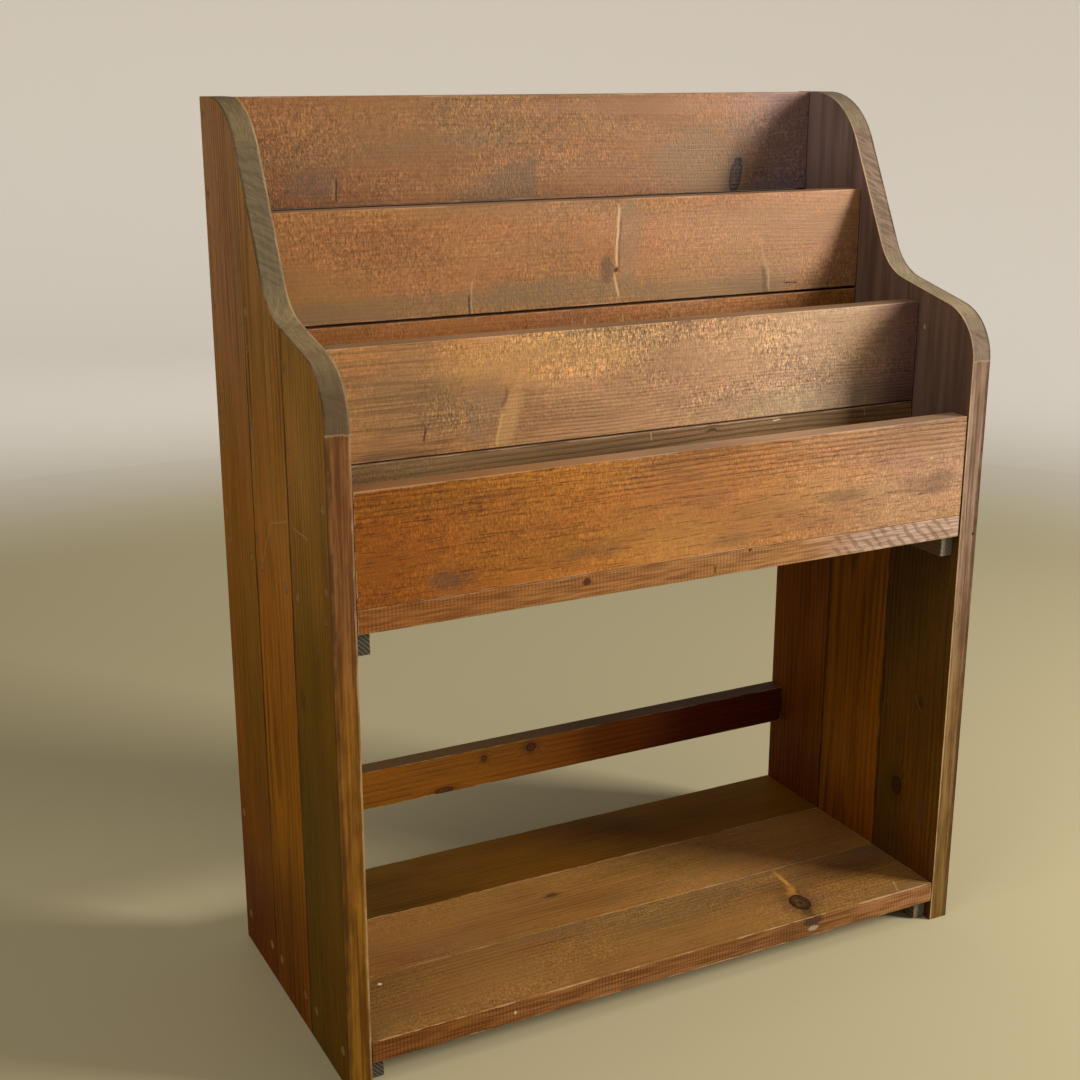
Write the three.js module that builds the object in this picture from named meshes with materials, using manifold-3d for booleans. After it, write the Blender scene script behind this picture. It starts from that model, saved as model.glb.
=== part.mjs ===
// Free-standing wooden magazine rack: three stepped pockets on a deck, an open bay and a bottom shelf.
// Millimetres, +Z up, +X to the right as seen from the front, front at -Y.
// The origin is the middle of the footprint, on the floor.
import * as THREE from 'three';
import { mergeVertices } from 'three/addons/utils/BufferGeometryUtils.js';
import Module from 'manifold-3d';

const wasm = await Module();
wasm.setup();

// ---- driving dimensions ----
const WIDTH = 600;
const DEPTH = 267;
const HEIGHT = 750;
const THICK = 19;              // thickness of every board
const WALL_BOARD = 88;         // height of each board in the pocket walls
const JOINT_GAP = 0.4;         // between boards that touch
const END_GAP = 0.8;           // between a board's end and the side panel
const DECK_TOP = 396.5;
const SHELF_TOP = 39;

// outline of the side panel, from the rear top corner to the front edge
const TOP_FLAT = 26.5;         // level stretch at the rear
const CREST_RADIUS = 72;       // convex curve at the top
const STEEP_ANGLE = 63.4;      // fall of the straight stretch, degrees below level
const STEEP_LENGTH = 103;
const DIP_RADIUS = 50;         // concave curve above the front pocket
const GENTLE_ANGLE = 13.7;     // fall of the stretch before the nose, degrees below level
const NOSE_RADIUS = 48;        // convex curve into the front edge
const ARC_STEP = 4;            // degrees for each facet of a curve

// pocket walls: front face of each, the heights of its boards from the bottom up, and the gaps left
// between them; the back wall's topmost board is a little taller and stands clear of the one below
const FRONT_SETBACK = 1;
const WALLS = [
  { name: 'front_wall', face: -DEPTH / 2 + FRONT_SETBACK, heights: [WALL_BOARD], gaps: [] },
  { name: 'second_wall', face: -60, heights: [WALL_BOARD, WALL_BOARD], gaps: [1.4] },
  { name: 'third_wall', face: 29.5, heights: [WALL_BOARD, WALL_BOARD, WALL_BOARD], gaps: [2.4, 2.4] },
  { name: 'back_wall', face: DEPTH / 2 - THICK, heights: [87.2, 87.2, 87.2, 88.6], gaps: [0.4, 0.4, 1.6] },
];

// strips under the deck and the shelf, and the rail across the back of the open bay
const CLEAT_WIDTH = 13;
const CLEAT_HEIGHT = 18.7;
const CLEAT_SETBACK = 8;
const RAIL_HEIGHT = 37;
const RAIL_BOTTOM = 110.5;

// screws through the side panels, sunk below plugs
const SCREW_SPREAD = 31;       // from the middle of a board to each of its two screws
const SCREW_RADIUS = 1.9;
const SCREW_LENGTH = 40;
const HEAD_RADIUS = 3.7;
const HEAD_HEIGHT = 2.4;
const PLUG_DEPTH = 7;
const PLUG_HOLE_RADIUS = 4.2;
const PILOT_RADIUS = 2.4;
const FIT_GAP = 0.3;
const SCREW_SIDES = 16;

// ---- derived ----
const FRONT = -DEPTH / 2;
const REAR = DEPTH / 2;
const INNER = WIDTH / 2 - THICK;
const SPAN = 2 * (INNER - END_GAP);
const BOARD_PITCH = DEPTH / 3;
const DECK_BOTTOM = DECK_TOP - THICK;
const SHELF_BOTTOM = SHELF_TOP - THICK;
const ROWS = [['rear', 1], ['middle', 0], ['front', -1]];
const SIDES = [['left', -1], ['right', 1]];

const wood = (colour) => new THREE.MeshStandardMaterial({ color: colour, roughness: 0.55, metalness: 0 });
const SIDE_WOOD = wood(0x6b4527);
const WALL_WOOD = wood(0x8a5a34);
const SHELF_WOOD = wood(0x70472a);
const CLEAT_WOOD = wood(0x4a3524);
const STEEL = new THREE.MeshStandardMaterial({ color: 0xa8a49c, roughness: 0.4, metalness: 1 });

const rack = new THREE.Group();

// ---- solids ----
function toManifold(geometry) {
  const bare = geometry.clone();
  bare.deleteAttribute('normal');
  bare.deleteAttribute('uv');
  const merged = mergeVertices(bare, 1e-5);
  return new wasm.Manifold(new wasm.Mesh({
    numProp: 3,
    vertProperties: new Float32Array(merged.attributes.position.array),
    triVerts: new Uint32Array(merged.index.array),
  }));
}

function fromManifold(solid) {
  const mesh = solid.getMesh();
  const geometry = new THREE.BufferGeometry();
  geometry.setAttribute('position', new THREE.BufferAttribute(new Float32Array(mesh.vertProperties), 3));
  geometry.setIndex(new THREE.BufferAttribute(new Uint32Array(mesh.triVerts), 1));
  geometry.computeVertexNormals();
  return geometry;
}

function block(low, high) {
  const size = high.map((value, axis) => value - low[axis]);
  const geometry = new THREE.BoxGeometry(...size);
  geometry.translate(...low.map((value, axis) => value + size[axis] / 2));
  return geometry;
}

function addPiece(name, geometry, material) {
  const mesh = new THREE.Mesh(geometry, material);
  mesh.name = name;
  rack.add(mesh);
}

// A round bar along X, from x = start to x = end, centred on (y, z).
function barAlongX(start, end, radius, y, z) {
  const bar = new THREE.CylinderGeometry(radius, radius, Math.abs(end - start), SCREW_SIDES);
  bar.rotateZ(Math.PI / 2);
  bar.translate((start + end) / 2, y, z);
  return bar;
}

// ---- side panels ----
// Adds an arc that turns the heading from one angle below level to another, walking forwards.
function turn(points, radius, fromAngle, toAngle) {
  const steps = Math.ceil(Math.abs(toAngle - fromAngle) / ARC_STEP);
  const bend = Math.sign(toAngle - fromAngle);
  const [startY, startZ] = points[points.length - 1];
  const from = THREE.MathUtils.degToRad(fromAngle);
  for (let step = 1; step <= steps; step += 1) {
    const angle = THREE.MathUtils.degToRad(fromAngle + (toAngle - fromAngle) * (step / steps));
    const y = startY - bend * radius * (Math.sin(angle) - Math.sin(from));
    const z = startZ + bend * radius * (Math.cos(angle) - Math.cos(from));
    points.push([y, z]);
  }
}

function goAhead(points, angle, length) {
  const heading = THREE.MathUtils.degToRad(angle);
  const [y, z] = points[points.length - 1];
  points.push([y - length * Math.cos(heading), z - length * Math.sin(heading)]);
}

function sideOutline() {
  const points = [[REAR, 0], [REAR, HEIGHT], [REAR - TOP_FLAT, HEIGHT]];
  turn(points, CREST_RADIUS, 0, STEEP_ANGLE);
  goAhead(points, STEEP_ANGLE, STEEP_LENGTH);
  turn(points, DIP_RADIUS, STEEP_ANGLE, GENTLE_ANGLE);
  const noseDepth = NOSE_RADIUS * (1 - Math.sin(THREE.MathUtils.degToRad(GENTLE_ANGLE)));
  const run = points[points.length - 1][0] - (FRONT + noseDepth);
  goAhead(points, GENTLE_ANGLE, run / Math.cos(THREE.MathUtils.degToRad(GENTLE_ANGLE)));
  turn(points, NOSE_RADIUS, GENTLE_ANGLE, 90);
  points.push([FRONT, 0]);
  return new THREE.Shape(points.reverse().map(([y, z]) => new THREE.Vector2(y, z)));
}

function sidePanel(side) {
  const panel = new THREE.ExtrudeGeometry(sideOutline(), { depth: THICK, bevelEnabled: false });
  const axes = new THREE.Matrix4().makeBasis(
    new THREE.Vector3(0, 1, 0),
    new THREE.Vector3(0, 0, 1),
    new THREE.Vector3(1, 0, 0),
  );
  panel.applyMatrix4(axes);
  panel.translate(side < 0 ? -WIDTH / 2 : INNER, 0, 0);
  return toManifold(panel);
}

// ---- screws ----
// Every screw: the board that it enters, its side, and its place on the side panel.
function screwPlaces() {
  const places = [];
  for (const [sideName, side] of SIDES) {
    for (const [panel, level] of [['shelf', SHELF_TOP], ['deck', DECK_TOP]]) {
      let count = 0;
      for (const [row, step] of ROWS) {
        for (const shift of [SCREW_SPREAD, -SCREW_SPREAD]) {
          count += 1;
          places.push({
            name: `${panel}_screw_${sideName}_${count}`,
            board: `${panel}_${row}_board`,
            side,
            y: step * BOARD_PITCH + shift,
            z: level - THICK / 2,
          });
        }
      }
    }
    [-SCREW_SPREAD, SCREW_SPREAD].forEach((shift, index) => places.push({
      name: `front_wall_screw_${sideName}_${index + 1}`,
      board: 'front_wall_board_1',
      side,
      y: WALLS[0].face + THICK / 2,
      z: DECK_TOP + JOINT_GAP + WALL_BOARD / 2 + shift,
    }));
    places.push({
      name: `rail_screw_${sideName}`,
      board: 'rear_rail',
      side,
      y: REAR - THICK / 2,
      z: RAIL_BOTTOM + RAIL_HEIGHT / 2,
    });
  }
  return places;
}

const SCREWS = screwPlaces();

function drillSide(solid, side) {
  let drilled = solid;
  for (const { y, z } of SCREWS.filter((screw) => screw.side === side)) {
    const outer = side * (WIDTH / 2 + 1);
    const seat = side * (WIDTH / 2 - PLUG_DEPTH - HEAD_HEIGHT);
    const inner = side * (INNER - 1);
    drilled = drilled.subtract(toManifold(barAlongX(outer, seat, PLUG_HOLE_RADIUS, y, z)));
    drilled = drilled.subtract(toManifold(barAlongX(seat + side, inner, PILOT_RADIUS, y, z)));
  }
  return drilled;
}

function drillEnds(solid, board) {
  let drilled = solid;
  for (const { side, y, z } of SCREWS.filter((screw) => screw.board === board)) {
    const bottom = side * (WIDTH / 2 - PLUG_DEPTH - SCREW_LENGTH - FIT_GAP);
    drilled = drilled.subtract(toManifold(barAlongX(side * (INNER + 1), bottom, PILOT_RADIUS, y, z)));
  }
  return drilled;
}

function screw({ name, side, y, z }) {
  const seat = side * (WIDTH / 2 - PLUG_DEPTH - HEAD_HEIGHT + FIT_GAP);
  const top = seat + side * (HEAD_HEIGHT - FIT_GAP);
  const tip = side * (WIDTH / 2 - PLUG_DEPTH - SCREW_LENGTH);
  const head = toManifold(barAlongX(seat, top, HEAD_RADIUS, y, z));
  const shank = toManifold(barAlongX(seat + side * FIT_GAP, tip, SCREW_RADIUS, y, z));
  addPiece(name, fromManifold(head.add(shank)), STEEL);
}

// ---- pieces ----
function addSidePanels() {
  for (const [sideName, side] of SIDES) {
    const panel = drillSide(sidePanel(side), side);
    for (const [row, step] of ROWS) {
      const middle = step * BOARD_PITCH;
      const half = BOARD_PITCH / 2;
      const low = step < 0 ? FRONT - 1 : middle - half + JOINT_GAP / 2;
      const high = step > 0 ? REAR + 1 : middle + half - JOINT_GAP / 2;
      const strip = block([-WIDTH, low, -1], [WIDTH, high, HEIGHT + 1]);
      const board = panel.intersect(toManifold(strip));
      addPiece(`${sideName}_side_${row}_board`, fromManifold(board), SIDE_WOOD);
    }
  }
}

function addLevel(panel, top, setback, material) {
  for (const [row, step] of ROWS) {
    const middle = step * BOARD_PITCH;
    const half = BOARD_PITCH / 2;
    const low = step < 0 ? FRONT + setback : middle - half + JOINT_GAP / 2;
    const high = step > 0 ? REAR : middle + half - JOINT_GAP / 2;
    const name = `${panel}_${row}_board`;
    const board = block([-SPAN / 2, low, top - THICK], [SPAN / 2, high, top]);
    addPiece(name, fromManifold(drillEnds(toManifold(board), name)), material);
  }
}

function addWalls() {
  for (const { name, face, heights, gaps } of WALLS) {
    let bottom = DECK_TOP + JOINT_GAP;
    heights.forEach((height, index) => {
      const board = block([-SPAN / 2, face, bottom], [SPAN / 2, face + THICK, bottom + height]);
      const pieceName = `${name}_board_${index + 1}`;
      addPiece(pieceName, fromManifold(drillEnds(toManifold(board), pieceName)), WALL_WOOD);
      bottom += height + (gaps[index] ?? 0);
    });
  }
}

function addCleats() {
  for (const [sideName, side] of SIDES) {
    for (const [panel, underside] of [['deck', DECK_BOTTOM], ['shelf', SHELF_BOTTOM]]) {
      const outer = side * (INNER - FIT_GAP);
      const inner = side * (INNER - CLEAT_WIDTH);
      const top = underside - FIT_GAP;
      const low = [Math.min(outer, inner), FRONT + CLEAT_SETBACK, top - CLEAT_HEIGHT];
      const high = [Math.max(outer, inner), REAR - CLEAT_SETBACK, top];
      addPiece(`${sideName}_${panel}_cleat`, block(low, high), CLEAT_WOOD);
    }
  }
}

function addRail() {
  const low = [-SPAN / 2, REAR - THICK, RAIL_BOTTOM];
  const high = [SPAN / 2, REAR, RAIL_BOTTOM + RAIL_HEIGHT];
  addPiece('rear_rail', fromManifold(drillEnds(toManifold(block(low, high)), 'rear_rail')), WALL_WOOD);
}

addSidePanels();
addLevel('deck', DECK_TOP, FRONT_SETBACK, SHELF_WOOD);
addLevel('shelf', SHELF_TOP, 0, SHELF_WOOD);
addWalls();
addCleats();
addRail();
SCREWS.forEach(screw);

export default rack;
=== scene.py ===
"""Looks of a stained softwood magazine rack: boards with their grain, knots and wear, and the plugs."""

import math

import bpy
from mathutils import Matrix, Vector


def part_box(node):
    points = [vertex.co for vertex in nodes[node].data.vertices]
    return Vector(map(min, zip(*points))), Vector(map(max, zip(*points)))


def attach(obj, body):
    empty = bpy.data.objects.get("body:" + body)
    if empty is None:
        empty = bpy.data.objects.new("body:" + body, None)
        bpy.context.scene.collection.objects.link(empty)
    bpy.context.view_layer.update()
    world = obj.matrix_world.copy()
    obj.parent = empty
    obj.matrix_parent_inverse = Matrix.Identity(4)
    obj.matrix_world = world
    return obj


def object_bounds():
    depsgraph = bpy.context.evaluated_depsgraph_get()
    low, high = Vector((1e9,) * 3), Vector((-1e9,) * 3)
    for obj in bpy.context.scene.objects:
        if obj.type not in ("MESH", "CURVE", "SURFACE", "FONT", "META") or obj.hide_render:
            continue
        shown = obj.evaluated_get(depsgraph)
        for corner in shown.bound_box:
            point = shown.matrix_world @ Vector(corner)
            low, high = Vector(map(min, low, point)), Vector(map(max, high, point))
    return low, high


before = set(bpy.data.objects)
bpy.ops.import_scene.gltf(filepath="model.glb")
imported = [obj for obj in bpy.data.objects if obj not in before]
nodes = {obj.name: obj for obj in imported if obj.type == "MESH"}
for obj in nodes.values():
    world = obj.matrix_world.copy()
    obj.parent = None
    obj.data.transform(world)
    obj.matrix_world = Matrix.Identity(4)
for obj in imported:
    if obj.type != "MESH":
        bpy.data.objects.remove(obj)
cad_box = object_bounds()
scene = bpy.context.scene

WINDOW_POWER = 84
FILL_POWER = 9
BACK_POWER = 5
AMBIENT_FRONT, AMBIENT_BACK = 0.355, 0.14

# the camera of the photograph, from a perspective fit of the rack's corners; the lens is in millimetres
CAMERA_LENS = 53.0933
CAMERA_PLACE = (-0.65749, -1.15892, 0.77253)
CAMERA_DIRECTION = (0.43682, 0.85326, -0.28485)


class Graph:
    """Short names for the shader nodes that the wood is made of."""

    def __init__(self, name):
        self.material = bpy.data.materials.new(name)
        self.material.use_nodes = True
        self.tree = self.material.node_tree
        self.tree.nodes.clear()
        place = self.node("ShaderNodeTexCoord")
        self.position = place.outputs["Object"]
        self.normal = place.outputs["Normal"]

    def node(self, kind, **settings):
        made = self.tree.nodes.new(kind)
        for key, value in settings.items():
            setattr(made, key, value)
        return made

    def plug(self, source, socket):
        if isinstance(source, bpy.types.NodeSocket):
            self.tree.links.new(source, socket)
        else:
            socket.default_value = source

    def math(self, operation, a, b=None, c=None):
        made = self.node("ShaderNodeMath", operation=operation)
        for source, socket in zip((a, b, c), made.inputs):
            if source is not None:
                self.plug(source, socket)
        return made.outputs[0]

    def add(self, a, b):
        return self.math("ADD", a, b)

    def subtract(self, a, b):
        return self.math("SUBTRACT", a, b)

    def times(self, a, b):
        return self.math("MULTIPLY", a, b)

    def least(self, a, b):
        return self.math("MINIMUM", a, b)

    def most(self, a, b):
        return self.math("MAXIMUM", a, b)

    def ramp(self, value, low, high, at_low=0.0, at_high=1.0):
        made = self.node("ShaderNodeMapRange", interpolation_type="SMOOTHSTEP")
        for source, socket in zip((value, low, high, at_low, at_high), made.inputs):
            self.plug(source, socket)
        return made.outputs[0]

    def split(self, vector):
        made = self.node("ShaderNodeSeparateXYZ")
        self.plug(vector, made.inputs[0])
        return made.outputs

    def join(self, x, y, z):
        made = self.node("ShaderNodeCombineXYZ")
        for source, socket in zip((x, y, z), made.inputs):
            self.plug(source, socket)
        return made.outputs[0]

    def noise(self, at, stretch, detail=2.0, roughness=0.5, distortion=0.0):
        """Noise around 0.5 with features about 1/stretch metres long in each direction."""
        scaled = self.node("ShaderNodeVectorMath", operation="MULTIPLY")
        self.plug(at, scaled.inputs[0])
        scaled.inputs[1].default_value = stretch
        made = self.node("ShaderNodeTexNoise")
        self.plug(scaled.outputs[0], made.inputs["Vector"])
        made.inputs["Scale"].default_value = 1.0
        made.inputs["Detail"].default_value = detail
        made.inputs["Roughness"].default_value = roughness
        made.inputs["Distortion"].default_value = distortion
        return made.outputs["Fac"]

    def blend(self, factor, a, b, mode="MIX"):
        made = self.node("ShaderNodeMix", data_type="RGBA", blend_type=mode)
        self.plug(factor, made.inputs["Factor"])
        for source, socket in ((a, made.inputs[6]), (b, made.inputs[7])):
            if not isinstance(source, bpy.types.NodeSocket) and len(source) == 3:
                source = (*source, 1.0)
            self.plug(source, socket)
        return made.outputs[2]

    def multiplied(self, colour, tint, factor=1.0):
        """The colour multiplied by a tint, as far as the factor says."""
        return self.blend(factor, colour, tint, "MULTIPLY")

    def tinted(self, colour, amount):
        """The colour multiplied by a grey amount."""
        made = self.node("ShaderNodeVectorMath", operation="SCALE")
        self.plug(colour, made.inputs[0])
        self.plug(amount, made.inputs["Scale"])
        return made.outputs[0]

    def finish(self, colour, roughness, height, depth, gloss=0.35):
        shader = self.node("ShaderNodeBsdfPrincipled")
        self.plug(colour, shader.inputs["Base Color"])
        self.plug(roughness, shader.inputs["Roughness"])
        shader.inputs["Specular IOR Level"].default_value = gloss
        if height is not None:
            bump = self.node("ShaderNodeBump")
            bump.inputs["Strength"].default_value = 1.0
            bump.inputs["Distance"].default_value = depth
            self.plug(height, bump.inputs["Height"])
            self.plug(bump.outputs[0], shader.inputs["Normal"])
        output = self.node("ShaderNodeOutputMaterial")
        self.plug(shader.outputs[0], output.inputs[0])
        return self.material


AXES = {"x": 0, "y": 1, "z": 2}
PALE = (0.60, 0.40, 0.21)
UMBER = (0.050, 0.020, 0.010)
GOLD = (0.48, 0.25, 0.075)
PLUM = (0.16, 0.095, 0.070)
OLIVE = (0.165, 0.108, 0.052)
DIM = (0.10, 0.052, 0.024)
SCAR = (0.54, 0.35, 0.19)
FADED = (0.46, 0.29, 0.14)
PITCH_GOLD = (0.50, 0.24, 0.045)

# the faces of the sides, and the seams between their three boards, measured from the middle of the rack
right_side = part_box("right_side_front_board")
INNER_FACE, OUTER_FACE = right_side[0][0], right_side[1][0]
SIDE_SEAM = (cad_box[1][1] - cad_box[0][1]) / 6


class Board(Graph):
    """One board's wood. u runs along the grain, v across the face, w through it, from the board's middle."""

    def __init__(self, name, box, along, face):
        super().__init__(name)
        self.low, self.high = box
        self.middle = [(a + b) / 2 for a, b in zip(*box)]
        across = next(a for a in "xyz" if a not in (along, face))
        self.axes = [AXES[a] for a in (along, across, face)]
        self.xyz = self.split(self.position)
        self.u, self.v, self.w = (self.subtract(self.xyz[a], self.middle[a]) for a in self.axes)
        seed = 1 + sum(ord(c) * (i + 3) for i, c in enumerate(name)) % 97
        shift = (seed * 1.37 % 5.0, seed * 0.71 % 3.0, seed * 2.13 % 4.0)
        self.at = self.join(*(self.add(c, d) for c, d in zip((self.u, self.v, self.w), shift)))
        self.facing = self.split(self.normal)

    def here(self, place):
        """A point in the row's frame, as this board's (u, v)."""
        return [place[a] - self.middle[a] for a in self.axes[:2]]

    def ragged(self, fineness=160.0, amount=1.0):
        """A wavering value around 0, which makes a straight rim ragged."""
        return self.times(self.subtract(self.noise(self.at, (fineness,) * 3, 2.0), 0.5), amount)

    def patchy(self, stretch, low, high, at_low=0.0, at_high=1.0):
        """Soft noise as a ramp, to make a strength differ from place to place."""
        return self.ramp(self.noise(self.at, stretch, 2.0), low, high, at_low, at_high)

    def length(self, *offsets):
        """The length of a vector from its components."""
        total = self.times(offsets[0], offsets[0])
        for offset in offsets[1:]:
            total = self.add(total, self.times(offset, offset))
        return self.math("SQRT", total)

    def away(self, place, long, wide, tilt=0.0):
        """Distance from a place, 1 at the rim of an ellipse long x wide (half sizes) that leans by tilt."""
        u0, v0 = self.here(place)
        across = self.subtract(self.v, v0)
        du = self.times(self.subtract(self.subtract(self.u, u0), self.times(across, tilt)), 1.0 / long)
        return self.length(du, self.times(across, 1.0 / wide))

    def rings(self, pith, spacing, knots, wander):
        """The growth rings' dark late wood: shells round the pith, which wander and part around knots."""
        radius = self.length(self.subtract(self.v, pith[0]), self.subtract(self.w, pith[1]))
        slow = self.subtract(self.noise(self.at, (2.2, 5.0, 5.0), 2.0), 0.5)
        quick = self.subtract(self.noise(self.at, (9.0, 38.0, 38.0), 2.0), 0.5)
        radius = self.add(radius, self.add(self.times(slow, wander), self.times(quick, 0.0030)))
        for place, long, wide, strength in knots:
            halo = self.ramp(self.away(place, long, wide), 0.6, 5.0, 1.0, 0.0)
            radius = self.add(radius, self.times(self.times(halo, halo), 0.012 * strength))
        phase = self.math("FRACT", self.times(radius, 1.0 / spacing))
        late = self.times(self.ramp(phase, 0.30, 0.85), self.ramp(phase, 0.90, 1.0, 1.0, 0.0))
        return self.times(late, self.patchy((4.0, 22.0, 22.0), 0.3, 0.6, 0.3, 1.0))

    def wood(
        self, light, dark, grey=PLUM, greying=0.3, pith=(0.22, -0.03), ring=0.0036, ring_strength=0.2,
        ring_zone=None, wander=0.03, speckle=0.3, calm=(), dashes=0.1, fibre=0.35, clouding=0.9, knots=(),
    ):
        """The stained face wood: rings, fibres, clouds of stain and the speckle left by scraping."""
        late = self.rings(pith, ring, knots, wander)
        if ring_zone:
            late = self.times(late, self.ramp(self.v, *ring_zone, 0.15, 1.0))
        fine = self.noise(self.at, (16.0, 1100.0, 1100.0), 2.0, 0.55)
        coarse = self.noise(self.at, (6.0, 300.0, 300.0), 2.0, 0.6)
        self.cloud = self.noise(self.at, (7.0, 17.0, 17.0), 3.0, 0.55)
        patch = self.noise(self.at, (4.0, 13.0, 13.0), 3.0, 0.6)
        tone = self.times(late, ring_strength)
        for layer, strength in ((fine, fibre), (coarse, fibre), (self.cloud, clouding)):
            tone = self.add(tone, self.times(self.subtract(layer, 0.5), strength))
        colour = self.blend(self.ramp(tone, -0.3, 0.7), light, dark)
        colour = self.blend(self.times(self.ramp(patch, 0.45, 0.72), greying), colour, grey)
        # the stain leans to red in some places and to olive in others
        lean = self.ramp(self.noise(self.at, (5.0, 26.0, 26.0), 2.0, 0.6), 0.36, 0.64)
        colour = self.multiplied(colour, self.blend(lean, (1.03, 0.965, 0.97), (0.97, 1.015, 0.96)))
        colour = self.scraped(colour, speckle, calm)
        dash = self.ramp(self.noise(self.at, (45.0, 1000.0, 1000.0), 2.0, 0.6), 0.55, 0.68)
        colour = self.multiplied(colour, (0.35, 0.28, 0.25), self.times(dash, dashes))
        self.height = self.add(self.times(fine, 0.5), self.times(self.dots, speckle * 2.2))
        self.height = self.add(self.height, self.times(late, ring_strength))
        return colour

    def scraped(self, colour, speckle, calm):
        """Short marks across the grain, over the fibre's own. Each calm is a ramp along u (0) or v (1)."""
        across = self.noise(self.at, (760.0, 330.0, 330.0), 2.0, 0.6)
        along = self.noise(self.at, (120.0, 700.0, 700.0), 2.0, 0.6)
        where = self.ramp(self.noise(self.at, (6.0, 15.0, 15.0), 3.0, 0.6), 0.34, 0.58, 0.35, 1.6)
        for axis, *band in calm:
            where = self.times(where, self.ramp((self.u, self.v)[axis], *band))
        self.dots = self.times(self.subtract(across, 0.5), where)
        shade = self.times(self.times(self.subtract(along, 0.5), where), speckle * 2.0)
        colour = self.tinted(colour, self.most(self.add(1.0, shade), 0.4))
        bright = self.times(self.ramp(across, 0.50, 0.70), self.times(where, speckle * 1.7))
        dim = self.times(self.ramp(across, 0.28, 0.48, 1.0, 0.0), self.times(where, speckle * 2.1))
        colour = self.multiplied(colour, (2.1, 1.95, 1.6), self.least(bright, 1.0))
        return self.multiplied(colour, (0.44, 0.39, 0.35), self.least(dim, 1.0))

    def drift(self, colour, along, tints):
        """The colour multiplied by tints that follow one another along a coordinate."""
        position, tint = tints[0]
        for onward, following in tints[1:]:
            tint = self.blend(self.ramp(along, position, onward), tint, following)
            position = onward
        return self.multiplied(colour, tint)

    def stain(self, colour, place, long, wide, tint, strength, soft=1.6, ragged=0.9, tilt=0.0):
        """A patch of another colour with a ragged soft rim."""
        away = self.add(self.away(place, long, wide, tilt), self.ragged(45.0, ragged))
        return self.blend(self.ramp(away, 1.0 / soft, soft, strength, 0.0), colour, tint)

    def knot(self, colour, place, long, wide, strength, heart=UMBER, tilt=0.0):
        """A knot: a swirled inside, a dark rim and a halo."""
        away = self.add(self.away(place, long, wide, tilt), self.ragged(230.0, 0.45))
        swirl = self.math("SINE", self.add(self.times(away, 11.0), self.times(self.ragged(90.0), 9.0)))
        inside = self.times(self.ramp(away, 0.75, 0.95, 1.0, 0.0), self.add(0.80, self.times(swirl, 0.14)))
        rim = self.times(self.ramp(away, 0.62, 0.92), self.ramp(away, 1.0, 1.35, 1.0, 0.0))
        halo = self.ramp(away, 1.0, 3.2, 0.38, 0.0)
        return self.blend(self.times(self.most(self.most(inside, rim), halo), strength), colour, heart)

    def streak(self, colour, start, end, wide, tint=PALE, strength=0.75, wander=2.5):
        """A thin line of another colour from start to end."""
        (u0, v0), (u1, v1) = self.here(start), self.here(end)
        length = math.hypot(u1 - u0, v1 - v0)
        du, dv = (u1 - u0) / length, (v1 - v0) / length
        pu, pv = self.subtract(self.u, u0), self.subtract(self.v, v0)
        forward = self.add(self.times(pu, du), self.times(pv, dv))
        aside = self.subtract(self.times(pv, du), self.times(pu, dv))
        aside = self.math("ABSOLUTE", self.add(aside, self.ragged(70.0, wide * wander)))
        finish = self.ramp(forward, length - wide * 2, length + wide, 1.0, 0.0)
        ends = self.times(self.ramp(forward, -wide, wide * 2), finish)
        line = self.times(self.ramp(aside, wide * 0.25, wide, 1.0, 0.0), ends)
        return self.blend(self.times(line, strength), colour, tint)

    def spot(self, colour, place, size, tint, strength, ragged=0.7):
        """A small mark around a point, with half sizes along x, y and z."""
        offsets = [self.times(self.subtract(self.xyz[i], place[i]), 1.0 / size[i]) for i in range(3)]
        away = self.add(self.length(*offsets), self.ragged(300.0, ragged))
        return self.blend(self.ramp(away, 0.65, 1.15, strength, 0.0), colour, tint)

    def marked(self, colour, marks):
        """The marks of a list, one over another. Each names its method and holds what that takes."""
        for kind, *values in marks:
            colour = getattr(self, kind)(colour, *values)
        return colour

    def wear(self, colour, width=0.0008, strength=0.5, tint=PALE):
        """Worn arrises of a straight board. The nearest arris is as far as the second nearest face."""
        offsets = [self.math("ABSOLUTE", self.subtract(self.xyz[i], self.middle[i])) for i in range(3)]
        a, b, c = (self.subtract((self.high[i] - self.low[i]) / 2, offsets[i]) for i in range(3))
        second = self.most(self.least(a, b), self.least(self.most(a, b), c))
        rub = self.noise(self.at, (28.0, 90.0, 90.0), 3.0, 0.65)
        reach = self.ramp(rub, 0.40, 0.70, width * 0.15, width * 2.4)
        worn = self.ramp(self.math("DIVIDE", second, reach), 0.5, 1.1, strength, 0.0)
        return self.blend(worn, colour, tint)

    def top_edge(self):
        """1 on the edge that faces up."""
        return self.ramp(self.facing[2], 0.75, 0.95)

    def front_edge(self):
        """1 on the edge that faces the front."""
        return self.ramp(self.facing[1], -0.95, -0.75, 1.0, 0.0)

    def done(self, colour, roughness=0.5, gloss=0.35):
        rough = self.add(roughness, self.times(self.subtract(self.cloud, 0.5), 0.25))
        rough = self.add(rough, self.times(self.dots, 0.4))
        return self.finish(colour, rough, self.height, 0.00035, gloss)


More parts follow.
